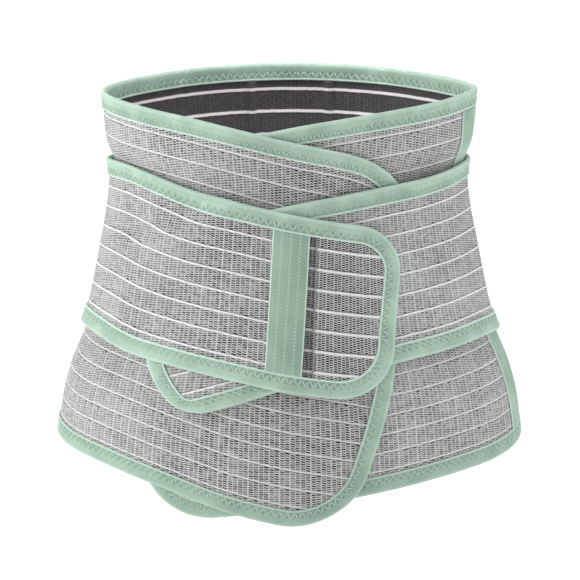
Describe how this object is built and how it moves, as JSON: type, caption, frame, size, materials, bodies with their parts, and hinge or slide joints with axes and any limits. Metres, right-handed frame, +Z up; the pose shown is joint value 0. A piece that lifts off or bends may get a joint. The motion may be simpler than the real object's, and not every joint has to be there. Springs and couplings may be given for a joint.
{
  "type": "abdominal binder with an outer waist belt",
  "caption": "Worn-shape elastic abdominal binder: a tall body panel and an outer waist belt, both lapped at the front, bound with folded tape.",
  "frame": {"origin": "centre of the waist, the narrowest level, where the wearer's waist holds it up", "axes": "+X from side to side, towards the side seam of the wing that lies beneath; the front faces -Y; +Z up"},
  "size_m": [0.3223, 0.239, 0.2772],
  "materials": {
    "elastic_mesh": "grey elastic mesh with raised white cross lines",
    "green_tape": "sage green woven tape with zigzag stitching",
    "herringbone_tape": "sage green herringbone tape",
    "dark_channel": "charcoal woven stay channel",
    "hook_pad": "grey hook tape"
  },
  "bodies": {
    "root": {"back_panel": "elastic_mesh", "over_wing": "elastic_mesh", "under_wing": "elastic_mesh", "panel_binding": "green_tape", "side_tape_over": "green_tape", "side_tape_under": "green_tape", "back_tape_over": "green_tape", "back_tape_under": "green_tape", "back_stay_over": "dark_channel", "back_stay_under": "dark_channel", "belt_band": "elastic_mesh", "belt_over_tab": "elastic_mesh", "belt_cross_tape": "herringbone_tape", "belt_binding": "green_tape", "belt_hook_pad": "hook_pad", "panel_hook_pad": "hook_pad"}
  },
  "joints": []
}
